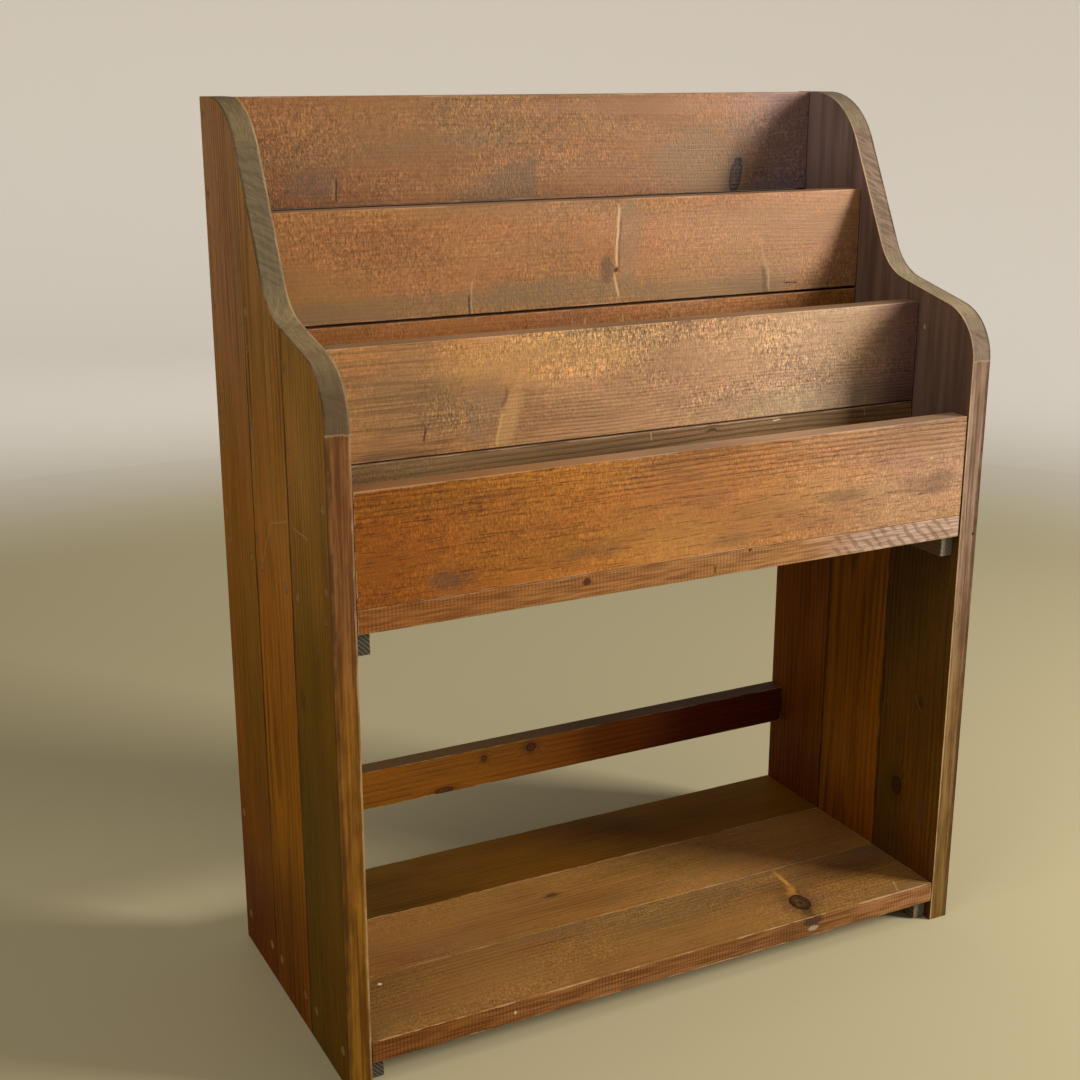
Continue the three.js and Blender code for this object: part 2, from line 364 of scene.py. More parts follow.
PLAIN_WALL = dict(
    light=(0.300, 0.130, 0.042), dark=(0.148, 0.060, 0.018), greying=0.30, speckle=0.23, ring_strength=0.12,
    clouding=1.15,
)
WALL_LOOKS = {
    "front_wall_board_1": dict(
        light=(0.345, 0.135, 0.024), dark=(0.165, 0.055, 0.007), greying=0.12, speckle=0.20, dashes=0.85,
        clouding=1.2, ring=0.0042, ring_strength=0.45, ring_zone=(0.004, 0.022), pith=(0.30, -0.02),
        wander=0.012,
    ),
    "second_wall_board_2": dict(
        light=(0.38, 0.205, 0.086), dark=(0.170, 0.088, 0.036), speckle=0.50, greying=0.2, dashes=0.45,
        clouding=1.2, ring=0.0030, ring_strength=0.32, ring_zone=(0.014, -0.014),
        calm=[(0, -0.215, -0.175, 0.3, 1.0), (0, 0.13, 0.24, 1.0, 0.45), (1, -0.034, -0.014, 0.35, 1.0)],
    ),
    "second_wall_board_1": dict(
        light=(0.235, 0.130, 0.054), dark=(0.105, 0.053, 0.019), greying=0.2, speckle=0.12, ring_strength=0.6,
        ring=0.0048, dashes=0.2, knots=[((0.0680, 0.0, 0.4815), 0.0020, 0.0015, 0.25)],
    ),
    "back_wall_board_4": dict(
        light=(0.265, 0.117, 0.041), dark=(0.125, 0.050, 0.018), greying=0.35, speckle=0.28,
    ),
    "third_wall_board_2": dict(light=(0.29, 0.115, 0.030), dark=(0.13, 0.045, 0.010), speckle=0.22),
}
# tints along x: besides the boards' own tone, they paint a sheen that turns paler and bluer towards the
# right, and on the back and second walls the right end is tinted as painted shadow of the right side
WALL_TONE_AND_LIGHT_DRIFTS = {
    "front_wall_board_1": [
        (-0.27, (0.66, 0.52, 0.12)), (-0.12, (0.95, 0.90, 0.60)),
        (0.02, (1.10, 1.22, 1.8)), (0.24, (1.06, 1.50, 4.3)),
    ],
    "second_wall_board_2": [
        (-0.22, (1.16, 1.05, 0.80)), (-0.02, (1.02, 1.07, 1.19)),
        (0.21, (1.05, 1.30, 1.82)), (0.27, (0.50, 0.48, 1.0)),
    ],
    "back_wall_board_4": [
        (-0.26, (0.84, 0.86, 0.92)), (-0.05, (0.95, 1.03, 1.08)),
        (0.17, (1.0, 1.04, 1.12)), (0.26, (0.98, 1.4, 3.6)),
    ],
    "third_wall_board_3": [(-0.25, (1.0, 1.04, 1.05)), (0.0, (1.10, 1.13, 1.25)), (0.22, (1.10, 1.26, 1.80))],
}


# the marks of each wall board that the photograph shows, in the order in which they lie over one another
def back_wall_marks(y):
    return [
        ("stain", (0.165, y, 0.690), 0.050, 0.030, OLIVE, 0.50),
        ("stain", (-0.215, y, 0.680), 0.020, 0.010, (0.13, 0.075, 0.045), 0.55),
        ("stain", (0.120, y, 0.738), 0.120, 0.006, (0.30, 0.155, 0.085), 0.35),
        ("knot", (0.2000, y, 0.6755), 0.0062, 0.0150, 1.0, (0.022, 0.012, 0.008), 0.16),
        ("streak", (0.2085, y, 0.6830), (0.2065, y, 0.6660), 0.0010, (0.30, 0.19, 0.11), 0.5),
        ("streak", (-0.1965, y, 0.6830), (-0.1965, y, 0.6660), 0.0016, FADED, 0.25),
        ("streak", (-0.1940, y, 0.6835), (-0.1950, y, 0.6645), 0.0013, UMBER, 0.9),
    ]


def third_wall_marks(y):
    return [
        ("stain", (-0.17, y, 0.586), 0.110, 0.010, OLIVE, 0.55),
        ("stain", (-0.03, y, 0.592), 0.070, 0.010, OLIVE, 0.50),
        ("stain", (0.100, y, 0.584), 0.080, 0.008, (0.19, 0.115, 0.050), 0.50),
        ("stain", (0.120, y, 0.640), 0.110, 0.014, (0.34, 0.165, 0.085), 0.30),
        ("stain", (0.036, y, 0.632), 0.011, 0.030, (0.21, 0.135, 0.075), 0.45),
        ("stain", (0.0150, y, 0.6085), 0.0060, 0.0110, (0.070, 0.040, 0.022), 0.65),
        ("streak", (0.0285, y, 0.6500), (0.0262, y, 0.6080), 0.0014, DIM, 0.60),
        ("streak", (0.0262, y, 0.6600), (0.0238, y, 0.6090), 0.0018, SCAR, 0.85, 1.0),
        ("spot", (0.0240, y, 0.6065), (0.0026, 0.01, 0.0022), UMBER, 0.95),
        ("streak", (0.0215, y, 0.6040), (0.0267, y, 0.5826), 0.0017, SCAR, 0.70, 1.0),
        ("streak", (-0.1115, y, 0.6050), (-0.1120, y, 0.5760), 0.0013, FADED, 0.40),
        ("streak", (-0.1141, y, 0.5940), (-0.1141, y, 0.5755), 0.0013, UMBER, 0.85),
        ("spot", (0.0020, y, 0.5765), (0.0085, 0.01, 0.0014), UMBER, 0.85),
        ("stain", (0.172, y, 0.588), 0.030, 0.010, DIM, 0.40, 1.9, 1.2),
        ("streak", (0.1735, y, 0.6030), (0.1795, y, 0.5765), 0.0034, DIM, 0.75),
        ("streak", (0.1694, y, 0.6254), (0.1805, y, 0.5985), 0.0026, (0.40, 0.235, 0.105), 0.45),
        ("streak", (0.1805, y, 0.5995), (0.1827, y, 0.5790), 0.0016, (0.44, 0.27, 0.13), 0.50),
        ("streak", (0.1990, y, 0.5852), (0.2141, y, 0.5845), 0.0011, UMBER, 0.85),
        ("streak", (0.1995, y, 0.5890), (0.1990, y, 0.5850), 0.0009, UMBER, 0.70),
    ]


def third_wall_foot_marks(y):
    nicks = ((-0.006, 0.0011), (0.0310, 0.0011), (0.080, 0.0007), (-0.018, 0.0006))
    return [("streak", (x, y, 0.5690), (x - 0.0005, y, 0.5590), wide, FADED, 0.55) for x, wide in nicks]


def second_wall_marks(y):
    return [
        ("stain", (-0.100, y, 0.552), 0.080, 0.014, GOLD, 0.35),
        ("stain", (-0.1435, y, 0.517), 0.013, 0.022, (0.200, 0.120, 0.070), 0.50, 1.7, 0.9, 0.20),
        ("stain", (-0.122, y, 0.506), 0.007, 0.020, (0.50, 0.29, 0.11), 0.45, 1.8, 0.9, 0.30),
        ("streak", (-0.1225, y, 0.5340), (-0.1285, y, 0.5175), 0.0022, (0.17, 0.085, 0.030), 0.85),
        ("streak", (-0.1275, y, 0.5150), (-0.1334, y, 0.4870), 0.0016, (0.50, 0.30, 0.11), 0.70),
        ("streak", (-0.1935, y, 0.5090), (-0.1940, y, 0.4970), 0.0014, UMBER, 0.85),
        ("streak", (-0.1955, y, 0.5140), (-0.1925, y, 0.5050), 0.0010, DIM, 0.70),
        ("stain", (-0.215, y, 0.489), 0.035, 0.0035, DIM, 0.50),
        ("streak", (0.2265, y, 0.4960), (0.2270, y, 0.4868), 0.0012, FADED, 0.75),
    ]


def second_wall_foot_marks(y):
    marks = [
        ("knot", (0.0680, y, 0.4815), 0.0030, 0.0022, 0.75),
        ("streak", (0.0600, y, 0.4790), (0.0655, y, 0.4810), 0.0011, DIM, 0.7),
        ("streak", (0.0710, y, 0.4820), (0.0790, y, 0.4838), 0.0010, DIM, 0.7),
        ("streak", (0.1290, y, 0.4822), (0.1370, y, 0.4828), 0.0009, (0.70, 0.52, 0.33), 0.8),
    ]
    for x in (0.0075, 0.2270):
        marks.append(("streak", (x, y, 0.4845), (x + 0.0005, y, 0.4770), 0.0009, FADED, 0.6))
    return marks


def front_wall_marks(y):
    lines = (
        ((-0.060, y, 0.4848), (0.050, y, 0.4838), 0.0020, 0.50),
        ((-0.045, y, 0.4770), (0.055, y, 0.4790), 0.0024, 0.45),
        ((0.0763, y, 0.4836), (0.1049, y, 0.4812), 0.0012, 0.60),
        ((-0.190, y, 0.4690), (-0.150, y, 0.4690), 0.0030, 0.35),
    )
    smudges = (
        ((-0.2083, y, 0.4094), 0.012, 0.0050, 0.60),
        ((-0.0861, y, 0.4148), 0.020, 0.0045, 0.35),
        ((0.0466, y, 0.4067), 0.020, 0.0050, 0.40),
        ((0.0244, y, 0.4439), 0.014, 0.0040, 0.30),
        ((0.1536, y, 0.4303), 0.016, 0.0032, 0.45),
        ((0.2438, y, 0.4320), 0.022, 0.0050, 0.50),
        ((0.2500, y, 0.4235), 0.016, 0.0020, 0.45),
    )
    marks = []
    for start, end, wide, strength in lines:
        marks.append(("streak", start, end, wide, (0.110, 0.032, 0.006), strength))
    for place, long, wide, strength in smudges:
        marks.append(("stain", place, long, wide, (0.085, 0.045, 0.025), strength, 2.2, 1.6))
    return marks + [("spot", (0.2440, y, 0.4520), (0.0020, 0.01, 0.0011), (0.55, 0.38, 0.23), 0.6)]


WALL_MARKS = {
    "back_wall_board_4": back_wall_marks,
    "third_wall_board_3": third_wall_marks,
    "third_wall_board_2": third_wall_foot_marks,
    "second_wall_board_2": second_wall_marks,
    "second_wall_board_1": second_wall_foot_marks,
    "front_wall_board_1": front_wall_marks,
}


def straight_stain(b, colour, x, z):
    """The stain of the back wall: a straight upright end on the right, and a slanting rim above."""
    rim = b.add(0.7085, b.times(x, 0.42))
    below = b.ramp(b.add(b.subtract(z, rim), b.ragged(60.0, 0.012)), -0.014, 0.008, 1.0, 0.0)
    sides = b.times(b.ramp(x, -0.125, -0.065), b.ramp(x, -0.0100, -0.0080, 1.0, 0.0))
    return b.blend(b.times(b.times(sides, below), 0.55), colour, (0.128, 0.080, 0.042))


def scraped_end(b, colour, x, y):
    """The left end of the second wall: a stain, and dark lines along the grain."""
    colour = b.stain(colour, (-0.205, y, 0.527), 0.045, 0.035, (0.17, 0.100, 0.055), 0.50)
    lines = b.ramp(b.noise(b.at, (7.0, 420.0, 420.0), 3.0, 0.6), 0.46, 0.60)
    lines = b.times(lines, b.ramp(b.add(x, b.ragged(30.0, 0.08)), -0.200, -0.150, 0.50, 0.0))
    return b.blend(lines, colour, (0.105, 0.055, 0.024))


def wall_board(name, box):
    """The boards of the pockets' walls."""
    b = Board(name, box, "x", "y")
    x, z = b.xyz[0], b.xyz[2]
    y = box[0][1]
    colour = b.wood(**{**PLAIN_WALL, **WALL_LOOKS.get(name, {})})
    # the tints along x paint sheen, and shadow at some right ends, over the boards' own tone
    if name in WALL_TONE_AND_LIGHT_DRIFTS:
        colour = b.drift(colour, x, WALL_TONE_AND_LIGHT_DRIFTS[name])
    if name == "back_wall_board_4":
        colour = straight_stain(b, colour, x, z)
    if name == "second_wall_board_2":
        colour = scraped_end(b, colour, x, y)
    if name in WALL_MARKS:
        colour = b.marked(colour, WALL_MARKS[name](y))
    colour = b.wear(colour, 0.0007, 0.50, (0.46, 0.28, 0.16))
    # the top edges are duller and paler than the faces
    pale_edge = b.blend(b.ramp(b.cloud, 0.35, 0.65), (0.33, 0.190, 0.115), (0.23, 0.140, 0.080))
    # on the front board the top edge turns paler and bluer towards the right, a painted sheen
    if "front" in name:
        pale_edge = b.drift(pale_edge, x, [(-0.20, (0.92, 0.80, 0.55)), (0.06, (1.45, 1.55, 1.65))])
    colour = b.blend(b.times(b.top_edge(), 0.85), colour, pale_edge)
    return b.done(colour, 0.47, 0.20)


# tints along z of the outer faces: they differ from board to board, and they darken the foot as painted shade
# and turn the upper part paler and bluer as painted light from above
SIDE_TONE_AND_SHADE_RISES = {
    "left_side_rear_board": [
        (0.04, (0.56, 0.33, 0.02)), (0.13, (0.81, 0.65, 0.06)), (0.27, (0.96, 0.97, 0.26)),
        (0.41, (1.11, 1.14, 0.60)), (0.65, (1.20, 1.54, 4.0)),
    ],
    "left_side_middle_board": [
        (0.06, (0.68, 0.50, 0.02)), (0.185, (1.01, 0.94, 0.08)), (0.335, (1.26, 1.17, 0.60)),
        (0.47, (1.0, 1.10, 1.1)), (0.70, (1.22, 1.60, 3.4)),
    ],
    "left_side_front_board": [
        (0.08, (0.57, 0.61, 0.04)), (0.21, (0.60, 0.70, 0.12)), (0.33, (0.85, 0.88, 0.22)),
        (0.42, (1.20, 1.20, 1.0)), (0.50, (1.45, 1.52, 1.9)),
    ],
}
RIGHT_TONE_AND_SHADE_RISE = [(0.02, (0.56, 0.54, 0.90)), (0.40, (0.62, 0.65, 1.4)), (0.70, (0.66, 0.74, 2.4))]

# nose is the height at which the upright front edge passes into the curved cut; foot darkens the cut by the
# nose as painted shade, and pocket tints the painted sheen of the inner face above the deck
EDGE_LOOKS = {
    "left": dict(
        nose=0.5272,
        front=((0.245, 0.107, 0.027), (0.094, 0.035, 0.008)),
        rise=[(0.05, (0.95, 1.0, 0.45)), (0.30, (1.0, 1.0, 0.60)), (0.42, (1.03, 1.07, 1.45))],
        smooth=((0.188, 0.140, 0.076), (0.125, 0.090, 0.048)),
        rough=((0.138, 0.105, 0.064), (0.106, 0.079, 0.047)),
        foot=(0.64, 0.56, 0.54),
        pocket=[(0.62, (0.80, 0.76, 0.66)), (0.71, (1.0, 0.98, 0.90))],
    ),
    "right": dict(
        nose=0.5320,
        front=((0.260, 0.150, 0.078), (0.095, 0.047, 0.021)),
        rise=[(0.05, (0.66, 0.66, 0.36)), (0.20, (0.82, 0.84, 0.62)), (0.38, (1.05, 1.20, 1.65))],
        smooth=((0.232, 0.184, 0.128), (0.162, 0.127, 0.086)),
        rough=((0.210, 0.148, 0.110), (0.128, 0.087, 0.062)),
        foot=(0.78, 0.77, 0.78),
        pocket=[(0.62, (0.92, 0.92, 1.05)), (0.71, (1.35, 1.50, 2.1))],
    ),
}


def side_wood(b, name):
    """The wood of a side board, before it differs between its faces."""
    looks = dict(light=(0.34, 0.130, 0.022), dark=(0.14, 0.052, 0.007), grey=(0.14, 0.080, 0.014))
    looks.update(greying=0.35, speckle=0.07, fibre=1.0, ring=0.006, ring_strength=0.32, dashes=0.25)
    if "middle" in name:
        looks.update(light=(0.38, 0.150, 0.022), pith=(0.012, -0.05))
    if "front" in name:
        looks.update(light=(0.27, 0.120, 0.019), dark=(0.125, 0.056, 0.008), greying=0.6)
    knots = []
    if name == "right_side_front_board":
        knots.append(((INNER_FACE, -0.0735, 0.1140), 0.0085, 0.0065, 0.9))
        knots.append(((INNER_FACE, -0.0985, 0.2064), 0.0035, 0.003, 0.6))
    colour = b.wood(knots=knots, **looks)
    return b.marked(colour, [("knot", *knot) for knot in knots])


def outer_face(b, name, wood):
    y, z = b.xyz[1], b.xyz[2]
    x = -OUTER_FACE
    # painted shade at the foot and painted light above, over each board's own tone
    colour = b.drift(wood, z, SIDE_TONE_AND_SHADE_RISES.get(name, RIGHT_TONE_AND_SHADE_RISE))
    if "front" in name:
        # painted shadow: a dark line on the outer face along the front arris, below the nose
        brink = b.add(b.subtract(y, b.low[1]), b.ragged(60.0, 0.0035))
        painted_shadow_line = b.times(b.ramp(brink, 0.0006, 0.0026, 1.0, 0.0), b.ramp(z, 0.52, 0.53, 0.65, 0.0))
        colour = b.blend(painted_shadow_line, colour, (0.050, 0.020, 0.006))
    if name == "left_side_front_board":
        colour = b.streak(colour, (x, -0.055, 0.441), (x, -0.089, 0.441), 0.0011, (0.40, 0.27, 0.13), 0.6)
        colour = b.stain(colour, (x, -0.060, 0.305), 0.008, 0.006, (0.050, 0.018, 0.006), 0.35)
    if name == "left_side_middle_board":
        scratch = ((x, 0.036, 0.381), (x, 0.000, 0.431), (x, -0.041, 0.443))
        for start, end in zip(scratch, scratch[1:]):
            colour = b.streak(colour, start, end, 0.0011, (0.42, 0.26, 0.12), 0.6)
        colour = b.stain(colour, (x, 0.037, 0.536), 0.030, 0.0022, (0.050, 0.020, 0.007), 0.7)
    return colour


def inner_face(b, name, wood, looks):
    """Inside the rack the wood is darkened as painted shade, and above the deck it turns grey as a painted
    sheen.
    """
    z = b.xyz[2]
    # painted shade: the inner faces are halved in brightness and then tinted along z and board by board
    rise = [(0.04, (1.3, 0.80, 0.35)), (0.12, (1.62, 1.25, 0.32)), (0.35, (1.42, 1.15, 0.32))]
    low = b.drift(b.tinted(wood, 0.50), z, rise)
    if "front" in name:
        low = b.drift(low, z, [(0.1, (0.84, 1.05, 2.1)), (0.3, (0.68, 0.90, 3.4))])
    if "left" in name:
        low = b.multiplied(low, (0.75, 0.80, 1.6))
    elif "middle" in name:
        low = b.multiplied(low, (1.15, 1.40, 1.2))
    # painted sheen: above the deck the inner faces take a grey, tinted along z by the pocket tints
    grain = b.ramp(b.noise(b.at, (6.0, 90.0, 90.0), 3.0, 0.6), 0.3, 0.7)
    high = b.drift(b.blend(grain, (0.198, 0.121, 0.079), (0.119, 0.071, 0.046)), z, looks["pocket"])
    return b.blend(b.ramp(z, 0.40, 0.44), low, high)


def inner_marks(b, colour):
    """The pitch under the right side's knot, a pale nick and a line."""
    x = INNER_FACE
    colour = b.stain(colour, (x, -0.112, 0.105), 0.012, 0.006, (0.11, 0.050, 0.018), 0.7)
    colour = b.spot(colour, (x, -0.0690, 0.5530), (0.01, 0.0016, 0.0022), (0.50, 0.36, 0.22), 0.8)
    return b.streak(colour, (x, -0.0905, 0.213), (x, -0.1000, 0.200), 0.0009, (0.22, 0.14, 0.07), 0.7)


def upright_edge(b, looks):
    """The front edge under the curve, with the grain running up it."""
    upright = b.noise(b.at, (9.0, 480.0, 480.0), 3.0, 0.6)
    coarser = b.noise(b.at, (6.0, 150.0, 150.0), 2.0, 0.5)
    mottled = b.noise(b.at, (40.0, 120.0, 120.0), 3.0, 0.6)
    grain = b.add(b.add(b.times(upright, 0.45), b.times(coarser, 0.35)), b.times(mottled, 0.20))
    return b.drift(b.blend(b.ramp(grain, 0.36, 0.62), *looks["front"]), b.xyz[2], looks["rise"])


def curved_edge(b, looks):
    """The cut along the curve: smooth where it crosses the grain on a slant, rough where it drops steeply;
    where its dip faces up it is made paler as painted light from above, and by the nose it is darkened as
    painted shade.
    """
    x, y, z = b.xyz
    slant = b.join(b.add(y, z), b.times(b.subtract(x, z), 0.15), x)
    slant = b.noise(slant, (60.0, 60.0, 900.0), 3.0, 0.6)
    smooth = b.blend(b.ramp(slant, 0.35, 0.68), *looks["smooth"])
    cross = b.noise(b.join(b.add(b.times(x, 0.5), z), x, 0.0), (330.0, 60.0, 1.0), 2.0, 0.6)
    rough = b.blend(b.ramp(cross, 0.40, 0.62), *looks["rough"])
    steep = b.times(b.ramp(b.facing[2], 0.46, 0.62, 1.0, 0.0), b.ramp(z, 0.52, 0.56))
    colour = b.blend(steep, smooth, rough)
    # painted light: where the dip faces up it is made paler, as if lit from above
    shoulder_painted_light = b.times(b.ramp(b.facing[2], 0.70, 0.95), b.ramp(z, 0.60, 0.64, 1.0, 0.0))
    colour = b.multiplied(colour, (1.5, 1.5, 1.4), shoulder_painted_light)
    # painted shade: the lower part of the cut, by the nose, is darkened
    colour = b.multiplied(colour, looks["foot"], b.ramp(z, 0.548, 0.592, 1.0, 0.0))
    return b.blend(b.times(b.ramp(b.cloud, 0.45, 0.65), 0.3), colour, (0.115, 0.080, 0.045))


def edge_lines(b, colour, edge, nose):
    """A dark line of painted shadow runs along the outer arris, the inner one is worn pale, and the nose is
    chipped.
    """
    across = b.add(b.math("ABSOLUTE", b.xyz[0]), b.ragged(70.0, 0.0022))
    reach = b.times(edge, b.ramp(b.noise(b.at, (30.0, 30.0, 30.0), 3.0, 0.6), 0.35, 0.60, 0.4, 1.0))
    outward = b.subtract(across, b.ramp(nose, -0.003, 0.001, 0.0, 0.0018))
    # painted shadow along the outer arris
    dark = b.times(b.ramp(outward, OUTER_FACE - 0.0042, OUTER_FACE - 0.0024), b.times(reach, 0.80))
    colour = b.blend(dark, colour, (0.044, 0.020, 0.008))
    pale = b.times(b.ramp(across, INNER_FACE + 0.0009, INNER_FACE + 0.0019, 1.0, 0.0), b.times(reach, 0.60))
    colour = b.blend(pale, colour, (0.42, 0.29, 0.16))
    chipped = b.times(b.ramp(b.math("ABSOLUTE", nose), 0.0003, 0.0012, 0.30, 0.0), edge)
    return b.blend(b.times(chipped, b.ramp(b.xyz[1], -0.10, -0.12)), colour, (0.42, 0.29, 0.17))


def arrises(b, colour, sideways, inside, beside):
    """A pale line where the inner arris is worn and a dark one of painted shadow along the outer, but none at
    the seams.
    """
    rounded = b.times(b.ramp(sideways, 0.12, 0.3), b.ramp(sideways, 0.85, 0.97, 1.0, 0.0))
    rounded = b.times(rounded, b.ramp(beside, 0.0008, 0.0016))
    pale_edge = b.times(b.times(rounded, inside), b.patchy((25.0, 25.0, 25.0), 0.3, 0.55, 0.35, 0.9))
    colour = b.blend(pale_edge, colour, (0.50, 0.33, 0.17))
    # painted shadow: the dark line along the outer arris
    outer = b.times(rounded, b.subtract(1.0, inside))
    return b.blend(b.times(outer, 0.80), colour, (0.050, 0.026, 0.010))


def side_board(name, box):
    """A board of the sides: faces with upright grain, and cut edges that show its ends on the curve."""
    b = Board(name, box, "z", "x")
    looks = EDGE_LOOKS["left" if "left" in name else "right"]
    y, z = b.xyz[1], b.xyz[2]
    wood = side_wood(b, name)
    # the seams between the boards have filled with dark stain
    beside = b.math("ABSOLUTE", b.subtract(b.math("ABSOLUTE", y), SIDE_SEAM))
    seam = b.ramp(b.noise(b.at, (22.0, 120.0, 120.0), 3.0, 0.6), 0.35, 0.7, 0.0009, 0.0032)
    filled = b.ramp(b.math("DIVIDE", beside, seam), 0.6, 1.1, 0.80, 0.0)
    if name != "left_side_front_board":
        filled = b.times(filled, b.ramp(z, 0.50, 0.60, 1.0, 0.35))
    outside = b.blend(filled, outer_face(b, name, wood), (0.050, 0.017, 0.005))
    within = b.blend(filled, inner_face(b, name, wood, looks), (0.022, 0.007, 0.003))
    if name == "right_side_front_board":
        within = inner_marks(b, within)
    inside = b.ramp(b.math("ABSOLUTE", b.xyz[0]), INNER_FACE + 0.002, INNER_FACE + 0.006, 1.0, 0.0)
    colour = b.blend(inside, outside, within)
    # the upright front edge, and the curved cut above its nose
    sideways = b.math("ABSOLUTE", b.facing[0])
    edge = b.ramp(sideways, 0.35, 0.75, 1.0, 0.0)
    nose = b.add(b.subtract(z, looks["nose"]), b.ragged(140.0, 0.004))
    above = b.times(b.ramp(nose, -0.0004, 0.0004), b.ramp(b.facing[1], 0.4, 0.7, 1.0, 0.0))
    colour = b.blend(edge, colour, b.blend(above, upright_edge(b, looks), curved_edge(b, looks)))
    colour = edge_lines(b, colour, edge, nose)
    colour = arrises(b, colour, sideways, inside, beside)
    if name == "right_side_front_board":
        nail_hole = (0.2960, -0.1335, 0.3780)
        colour = b.spot(colour, nail_hole, (0.0013, 0.002, 0.0013), (0.004, 0.003, 0.002), 1.0, 0.2)
    return b.done(colour, 0.55, 0.04)


PLAIN_SHELF = dict(
    light=(0.27, 0.120, 0.032), dark=(0.14, 0.056, 0.013), greying=0.30, speckle=0.14, fibre=0.70,
    clouding=1.2, ring=0.005,
)
SHELF_LOOKS = {
    # the rear board, at the back of the bay, is coloured darker as painted shade
    "shelf_rear_board": dict(
        light=(0.165, 0.070, 0.003), dark=(0.085, 0.036, 0.0015), grey=(0.10, 0.060, 0.008), greying=0.3,
        speckle=0.05,
    ),
    "shelf_middle_board": dict(light=(0.33, 0.160, 0.038), dark=(0.165, 0.074, 0.015), speckle=0.14),
    "shelf_front_board": dict(
        light=(0.285, 0.143, 0.038), dark=(0.138, 0.065, 0.015), speckle=0.20, greying=0.35,
    ),
}


def shelf_marks(name, top):
    """The knots, the pitch streak and the scratches of the shelf's upper face."""
    if name == "shelf_middle_board":
        return [
            ("knot", (-0.0474, 0.0084, top), 0.0045, 0.0022, 0.9),
            ("streak", (-0.058, 0.006, top), (-0.050, 0.008, top), 0.0014, UMBER, 0.5),
        ]
    if name == "shelf_front_board":
        return [
            ("stain", (0.190, -0.075, top), 0.060, 0.014, (0.085, 0.042, 0.016), 0.45),
            ("streak", (0.161, -0.0468, top), (0.156, -0.078, top), 0.0032, PITCH_GOLD, 0.85),
            ("streak", (0.156, -0.076, top), (0.149, -0.098, top), 0.0048, PITCH_GOLD, 0.85),
            ("streak", (0.1480, -0.1120, top), (0.1435, -0.1340, top), 0.0075, (0.050, 0.022, 0.010), 0.75),
            ("knot", (0.1485, -0.1070, top), 0.0085, 0.0120, 0.97, (0.026, 0.010, 0.005), 0.10),
            ("streak", (0.2500, -0.1140, top), (0.2420, -0.1320, top), 0.0008, (0.45, 0.30, 0.17), 0.6),
            ("spot", (-0.2440, -0.0583, top), (0.0020, 0.0020, 0.004), (0.80, 0.70, 0.55), 0.95),
        ]
    return []


def deck_edge(b, sawn):
    """The bare wood of the deck's front edge."""
    bare = b.blend(sawn, (0.33, 0.155, 0.058), (0.190, 0.080, 0.024))
    # the tints along x paint a sheen that turns paler and bluer towards the right
    tints = [(-0.27, (0.82, 0.66, 0.45)), (-0.05, (0.95, 0.90, 0.80))]
    tints += [(0.10, (1.05, 1.08, 1.12)), (0.20, (1.24, 1.85, 4.0))]
    return b.drift(bare, b.xyz[0], tints)


def shelf_edge(b, sawn):
    """The bare wood of the shelf's front edge, with the end of the knot under it."""
    bare = b.blend(sawn, (0.250, 0.108, 0.036), (0.135, 0.054, 0.014))
    tints = [(-0.25, (0.80, 0.68, 0.45)), (-0.10, (1.0, 0.95, 0.9))]
    tints += [(0.15, (0.85, 0.85, 0.85)), (0.26, (1.15, 1.20, 1.4))]
    bare = b.drift(bare, b.xyz[0], tints)
    bare = b.spot(bare, (0.1440, b.low[1], 0.0350), (0.0110, 0.004, 0.0060), (0.045, 0.026, 0.016), 0.85)
    return b.spot(bare, (0.1440, b.low[1], 0.0275), (0.0060, 0.004, 0.0028), (0.36, 0.28, 0.19), 0.70)


def gouges(b, bare):
    """Slanting gouges near the right end of the deck's front edge."""
    x, z = b.xyz[0], b.xyz[2]
    slanting = b.add(b.add(x, b.times(z, 0.95)), b.ragged(60.0, 0.0100))
    gouge = b.math("SINE", b.times(slanting, 2 * math.pi / 0.0118))
    gouge = b.times(b.ramp(gouge, 0.0, 0.6), b.patchy((70.0, 160.0, 160.0), 0.3, 0.55))
    stretch = b.times(b.ramp(x, 0.135, 0.150), b.ramp(x, 0.268, 0.276, 1.0, 0.0))
    return b.blend(b.times(b.times(gouge, stretch), 0.55), bare, (0.115, 0.060, 0.032))


def sawn_edge(b, deck):
    """The front edge, bare and with the marks of the saw's teeth."""
    x = b.xyz[0]
    sawn = b.ramp(b.noise(b.at, (30.0, 60.0, 500.0), 2.0, 0.6), 0.35, 0.65)
    bare = deck_edge(b, sawn) if deck else shelf_edge(b, sawn)
    teeth = b.math("SINE", b.times(b.add(x, b.ragged(25.0, 0.0030)), 2 * math.pi / 0.0031))
    strength = b.patchy((14.0, 60.0, 60.0), 0.35, 0.6, 0.06, 0.30)
    if deck:
        strength = b.times(strength, b.ramp(x, 0.10, 0.14, 1.0, 0.0))
        bare = gouges(b, bare)
    return b.tinted(bare, b.subtract(1.0, b.times(b.ramp(teeth, -0.3, 0.8), strength)))


def edge_marks(deck, y):
    if deck:
        return [
            ("spot", (-0.0912, y, 0.3908), (0.0040, 0.004, 0.0034), UMBER, 0.92),
            ("spot", (0.0602, y, 0.3958), (0.0022, 0.004, 0.0020), UMBER, 0.95),
            ("spot", (0.0268, y, 0.3836), (0.0009, 0.004, 0.0040), UMBER, 0.80),
        ]
    return [("spot", (-0.1551, y, 0.0289), (0.0013, 0.004, 0.0016), (0.55, 0.38, 0.22), 0.85)]


